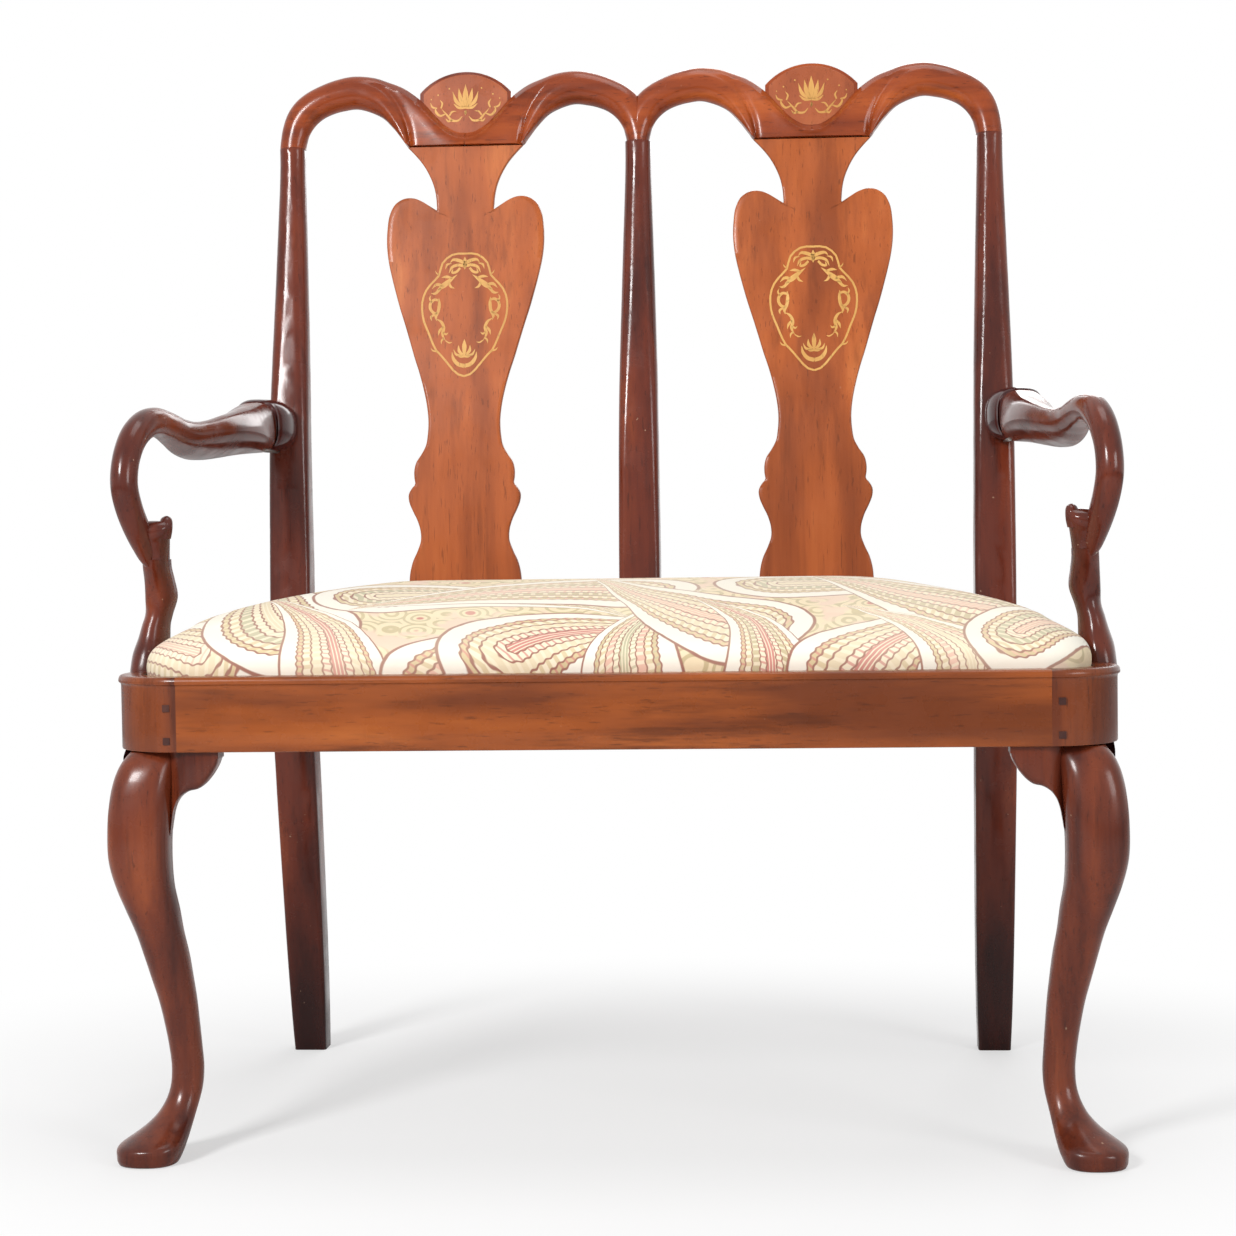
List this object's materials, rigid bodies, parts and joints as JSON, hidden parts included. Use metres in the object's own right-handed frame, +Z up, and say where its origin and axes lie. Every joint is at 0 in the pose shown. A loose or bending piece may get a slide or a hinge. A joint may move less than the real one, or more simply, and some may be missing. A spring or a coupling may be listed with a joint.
{
  "type": "settee",
  "caption": "Open-arm settee with a double chair back of vase splats, arched crest rails, shepherd's-crook arms, cabriole front legs and a patterned drop-in seat.",
  "frame": {"origin": "on the floor, under the middle of the settee's bounding box", "axes": "+X towards the sitter's left (right as seen from the front), +Y towards the back, +Z up; the front faces -Y"},
  "size_m": [0.905, 0.545, 1.0319],
  "materials": {
    "mahogany": "polished",
    "veneer": "polished",
    "boxwood": "polished",
    "beech": "unpolished",
    "woven_cover": "printed paisley weave",
    "horsehair": "coarse stuffing",
    "webbing": "woven jute",
    "hessian": "woven jute",
    "black_cotton": "thin cotton",
    "steel": "plain"
  },
  "bodies": {
    "frame": {"front_joint_pegs": "mahogany", "front_seat_rail": "mahogany", "rear_seat_rail": "mahogany", "rear_seat_bearer": "beech", "seat_brace": "beech", "left_side_rail": "mahogany", "right_side_rail": "mahogany", "left_rear_post": "mahogany", "right_rear_post": "mahogany", "centre_post": "mahogany", "left_crest_rail": "mahogany", "right_crest_rail": "mahogany", "left_tablet_panel": "veneer", "right_tablet_panel": "veneer", "left_tablet_inlay": "boxwood", "right_tablet_inlay": "boxwood", "left_splat": "mahogany", "right_splat": "mahogany", "left_splat_inlay": "boxwood", "right_splat_inlay": "boxwood", "left_splat_shoe": "mahogany", "right_splat_shoe": "mahogany", "left_front_leg": "mahogany", "right_front_leg": "mahogany", "left_front_knee_bracket": "mahogany", "right_front_knee_bracket": "mahogany", "left_side_knee_bracket": "mahogany", "right_side_knee_bracket": "mahogany", "left_arm": "mahogany", "right_arm": "mahogany", "left_arm_block": "mahogany", "right_arm_block": "mahogany", "left_arm_support": "mahogany", "right_arm_support": "mahogany", "arm_screws": "steel", "arm_support_screws": "steel", "corner_block_screws": "steel", "left_front_corner_block": "beech", "right_front_corner_block": "beech", "left_rear_corner_block": "beech", "right_rear_corner_block": "beech"},
    "slip_seat": {"seat_cover": "woven_cover", "seat_stuffing": "horsehair", "seat_base_cloth": "hessian", "seat_webbing_across": "webbing", "seat_webbing_deep": "webbing", "seat_frame_front": "beech", "seat_frame_back": "beech", "left_seat_frame_side": "beech", "right_seat_frame_side": "beech", "seat_tacks": "steel", "seat_dust_cover": "black_cotton"}
  },
  "joints": [
    {"name": "seat_lift", "type": "slide", "parent": "frame", "child": "slip_seat", "axis": [0, 0, 1], "range_m": [0, 0.03]}
  ]
}
